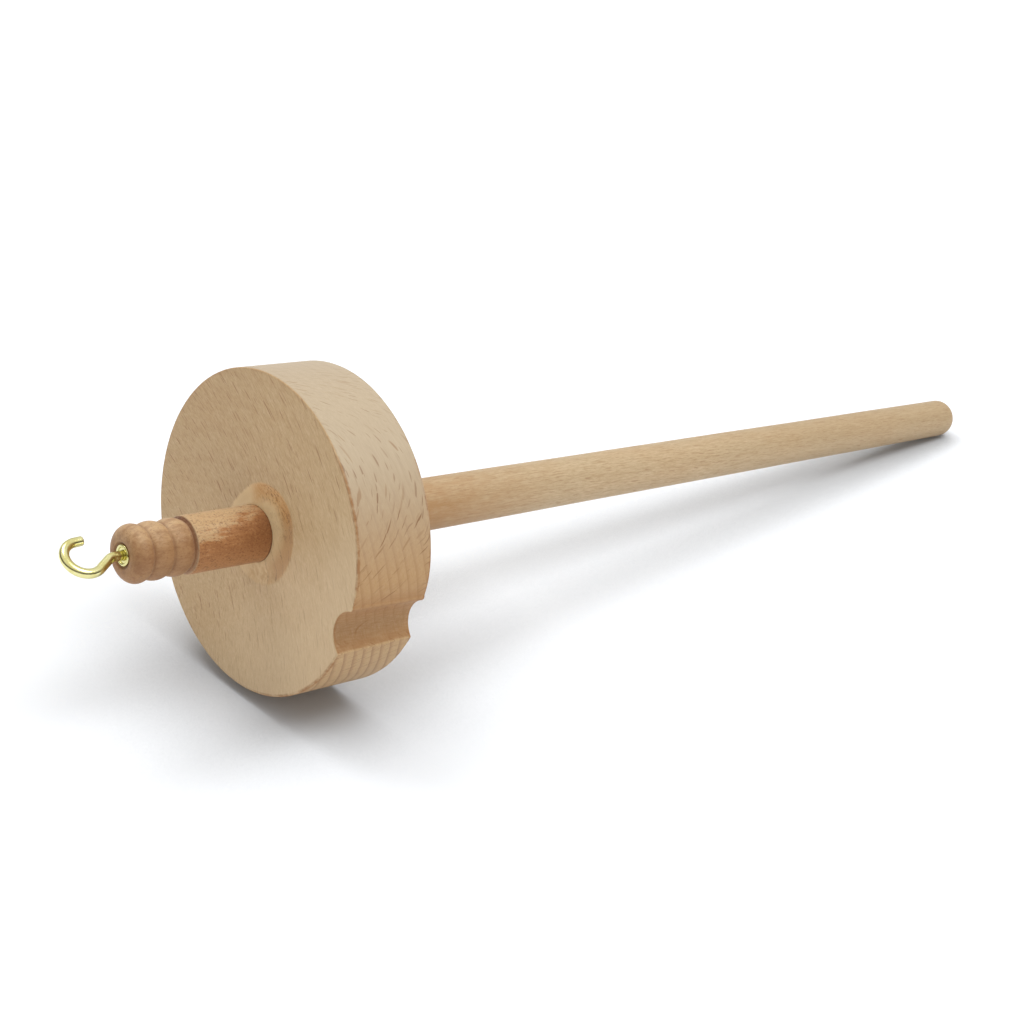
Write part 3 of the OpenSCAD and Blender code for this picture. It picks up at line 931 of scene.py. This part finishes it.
def build_hook():
    phi = np.linspace(0, 2 * math.pi, WIRE_SEGMENTS, endpoint=False)
    verts, rings = [], []

    def ring(x, z, heading, radius):
        """Ring round a point of the path, before the hook is turned to its direction."""
        across = np.array([math.cos(heading), 0, -math.sin(heading)])
        spokes = np.cos(phi)[:, None] * across + np.sin(phi)[:, None] * np.array([0, 1, 0])
        radius = np.broadcast_to(radius, (WIRE_SEGMENTS,))
        rings.append(range(len(verts), len(verts) + WIRE_SEGMENTS))
        verts.extend(np.array([x, 0, z]) + radius[:, None] * spokes)

    start_z = SEAT_Z - THREAD_LEN
    for z in np.linspace(start_z, SHANK_TOP, 190)[:-1]:
        ring(0, float(z), 0.0, thread_radius(z, start_z, phi))
    path = hook_path()
    for i, (x, z, heading) in enumerate(path):
        # Drawn wire flattens very slightly where it is bent
        bent = min(1, max(0, (i / (len(path) - 1) - 0.15) / 0.75))
        flat = 0.012 * math.sin(math.pi * bent) * np.cos(2 * phi)
        ring(x, z, heading, WIRE_R + flat * WIRE_R - 0.004)
    # Cut end with a small rounded edge and a slightly domed face, as (radius, distance on)
    x, z, heading = path[-1]
    on_x, on_z = math.sin(heading), math.cos(heading)
    cut_end = [(WIRE_R - WIRE_EDGE_R + WIRE_EDGE_R * math.cos(a), WIRE_EDGE_R * math.sin(a))
               for a in np.radians([15, 35, 55, 75, 90])]
    for radius, on in cut_end + [(0.55, 0.40), (0.3, 0.43)]:
        ring(x + on_x * on, z + on_z * on, heading, radius)
    faces = loft(rings)
    point, dome = len(verts), len(verts) + 1
    verts.append(np.array([0, 0, start_z - 0.05]))
    verts.append(np.array([x + on_x * 0.44, 0, z + on_z * 0.44]))
    for caps in zip(bridge([point], rings[0]), bridge(rings[-1], [dome])):
        faces += caps
    verts = np.array(verts)
    cosine, sine = math.cos(HOOK_TURN), math.sin(HOOK_TURN)
    verts = np.c_[verts[:, 0] * cosine - verts[:, 1] * sine,
                  verts[:, 0] * sine + verts[:, 1] * cosine,
                  np.maximum(verts[:, 2], HOOK_LOW_Z)]
    return make("hook_wire", verts, faces, HOOK_MATERIAL)


hook = build_hook()
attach(hook, "hook")
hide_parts("hook")


# ---------------------------------------------------------------- collar
def collar_profile():
    """A pressed ring: rounded over its outer edge, lower where it meets the wire."""
    inner_r, round_r = WIRE_R + 0.03, 0.35
    points = [(inner_r, SEAT_Z + 0.03), (inner_r + 0.06, SEAT_Z)]
    points += [(float(r), SEAT_Z) for r in np.linspace(inner_r + 0.3, COLLAR_R - 0.12, 5)]
    points += arc(COLLAR_R - round_r, COLLAR_TOP - round_r, round_r, -42, 205, 34)
    points += [(2.02, SEAT_Z + 0.27), (1.7, SEAT_Z + 0.235),
               (inner_r + 0.08, SEAT_Z + 0.235), (inner_r, SEAT_Z + 0.18)]
    return points


collar = lathe("collar_ring", collar_profile(), 96, COLLAR_MATERIAL, closed=True)
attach(collar, "collar")
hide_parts("hook_collar")

# ---------------------------------------------------------------- camera
scene = bpy.context.scene
CAMERA_AT = Vector((273.6257, 234.3329, 272.4692)) * MM
RIGHT = Vector((0.613923, 0.306651, -0.727367))
UP = Vector((-0.560179, 0.818461, -0.127755))
BACK = Vector((0.556146, 0.485887, 0.674252))

camera_data = bpy.data.cameras.new("camera")
camera_data.sensor_fit = "HORIZONTAL"
camera_data.sensor_width = 36.0
camera_data.lens = 64.48498218
camera_data.shift_x = 0.0121891089
camera_data.shift_y = 0.00126732673
camera_data.clip_start = 0.01
camera_data.clip_end = 20
camera = bpy.data.objects.new("camera", camera_data)
pose = Matrix((RIGHT, UP, BACK)).transposed().to_4x4()
pose.translation = CAMERA_AT
camera.matrix_world = pose
scene.collection.objects.link(camera)
scene.camera = camera

# ---------------------------------------------------------------- floor
# The spindle lies on its whorl's rim and its tip. The floor is the plane that
# touches both, so it is tilted in this frame. It shows only to the camera
# above, so that the other views look at the spindle on plain white.
FLOOR_N = Vector((-0.218895, 0.967783, 0.124422)).normalized()


def lowest(piece):
    """Least distance of a piece's vertices along the floor's normal."""
    flat = np.empty(len(piece.data.vertices) * 3)
    piece.data.vertices.foreach_get("co", flat)
    return float((flat.reshape(-1, 3) @ np.array(FLOOR_N)).min())


def at_main_camera(graph):
    """1 where the shading point's distance to the viewer is its distance to CAMERA_AT."""
    position = graph.out("ShaderNodeNewGeometry", output="Position")
    seen = graph.out("ShaderNodeCameraData", output="View Distance")
    wanted = graph.vector_math("DISTANCE", position, tuple(CAMERA_AT))
    return graph.math("LESS_THAN", abs(seen - wanted), 8e-6)


def floor_material():
    """White that glows where it is open to the sky, so only close shadows stay: the glow is painted
    light, and where the spindle is close above it fades into a painted shadow.
    """
    graph = Graph(bpy.data.materials.new("floor_white"))
    position = graph.out("ShaderNodeNewGeometry", output="Position")
    mottle = graph.noise(position.scaled(60.0), detail=3.0)
    colour = graph.mix(mottle, (0.545, 0.56, 0.58, 1), (0.555, 0.57, 0.59, 1))
    open_sky = graph.out("ShaderNodeAmbientOcclusion", {"Distance": 0.07}, "AO", samples=6)
    far = graph.vector_math("LENGTH", position).smooth(0.28, 0.70)
    strength = 0.01 + open_sky.smooth(0.52, 0.92) * 0.52 + far * 0.30
    diffuse = graph.out("ShaderNodeBsdfDiffuse", {"Color": colour, "Roughness": 0.4})
    glow = graph.out("ShaderNodeEmission", {"Color": (1, 1, 1, 1), "Strength": strength})
    body = graph.out("ShaderNodeAddShader", {0: diffuse, 1: glow})
    clear = graph.out("ShaderNodeBsdfTransparent")
    shown = graph.out("ShaderNodeMixShader", {0: at_main_camera(graph), 1: clear, 2: body})
    graph.node("ShaderNodeOutputMaterial", {"Surface": shown})
    return graph.owner


def build_floor():
    half = 4.0
    side = FLOOR_N.cross(Vector((0, 0, 1))).normalized()
    along = side.cross(FLOOR_N).normalized()
    foot = FLOOR_N * (min(lowest(whorl), lowest(shaft)) - 0.00002)
    corners = [foot + side * a * half + along * b * half
               for a, b in ((-1, -1), (1, -1), (1, 1), (-1, 1))]
    mesh = bpy.data.meshes.new("floor")
    mesh.from_pydata([tuple(c) for c in corners], [], [(0, 1, 2, 3)])
    mesh.update()
    # These corners run clockwise seen from above, so the face is turned over
    mesh.flip_normals()
    mesh.materials.append(floor_material())
    piece = bpy.data.objects.new("floor", mesh)
    scene.collection.objects.link(piece)
    return piece


floor = build_floor()

# ---------------------------------------------------------------- light
scene.view_settings.view_transform = "Standard"
scene.view_settings.look = "None"
scene.view_settings.exposure = 0.0
scene.view_settings.gamma = 1.0

# Level directions: toward the camera, and to its right
back_level = (BACK - FLOOR_N * BACK.dot(FLOOR_N)).normalized()
right_level = (RIGHT - FLOOR_N * RIGHT.dot(FLOOR_N)).normalized()
AIM = Vector((0, 0, -0.03))
LIGHT_REACH = 1.1


def area(name, back, right, size, power):
    """Disk light aimed at AIM; back and right are its offsets for each unit of height."""
    data = bpy.data.lights.new(name, "AREA")
    data.shape = "DISK"
    data.size = size
    data.energy = power
    data.color = (0.98, 1.0, 1.02)
    light = bpy.data.objects.new(name, data)
    light.location = AIM + (FLOOR_N + back_level * back + right_level * right) * LIGHT_REACH
    light.rotation_mode = "QUATERNION"
    light.rotation_quaternion = (light.location - AIM).to_track_quat("Z", "Y")
    scene.collection.objects.link(light)


area("key", back=0.20, right=0.50, size=0.65, power=7.5)
area("second", back=-0.35, right=-0.42, size=0.50, power=5.3)


def build_world():
    """White to the camera, a soft fill for diffuse light, a banded studio for reflections."""
    world = bpy.data.worlds.new("studio")
    scene.world = world
    graph = Graph(world)
    direction = graph.vector_math("NORMALIZE", graph.out("ShaderNodeTexCoord",
                                                         output="Generated"))
    up = graph.vector_math("DOT_PRODUCT", direction, tuple(FLOOR_N))
    back = graph.vector_math("DOT_PRODUCT", direction, tuple(back_level))
    rays = graph.node("ShaderNodeLightPath")
    toward_z = graph.split(direction)[2]
    # More fill from above, and from low down on the +Z side
    fill = (0.37 + up.smooth(-0.2, 0.9) * 0.18
            + toward_z.smooth(0.15, 0.95) * up.smooth(0.75, 0.15) * 0.23)
    # Reflections: dark at the horizon, bright overhead, with a bright wall behind the spindle
    glossy = graph.mix(up.smooth(0.23, 0.70), (0.06, 0.055, 0.04, 1), (0.92, 0.92, 0.90, 1))
    glossy = graph.mix(back.smooth(-0.25, -0.75) * up.smooth(0.7, 0.4), glossy,
                       (0.72, 0.72, 0.70, 1))
    # Below the horizon the sweep stands in for the floor in views where the floor is hidden
    below = up.smooth(-0.03, -0.12)
    fill = fill * (1.0 - below) + below * 1.08
    glossy = graph.mix(below, glossy, (0.55, 0.55, 0.53, 1))
    colour = graph.mix(Value(graph, rays.outputs["Is Glossy Ray"]),
                       graph.vector(fill, fill, fill * 1.0), glossy)
    colour = graph.mix(Value(graph, rays.outputs["Is Camera Ray"]), colour, (1.0, 1.0, 1.0, 1))
    background = graph.out("ShaderNodeBackground", {"Color": colour, "Strength": 1.0})
    graph.node("ShaderNodeOutputWorld", {"Surface": background})


build_world()
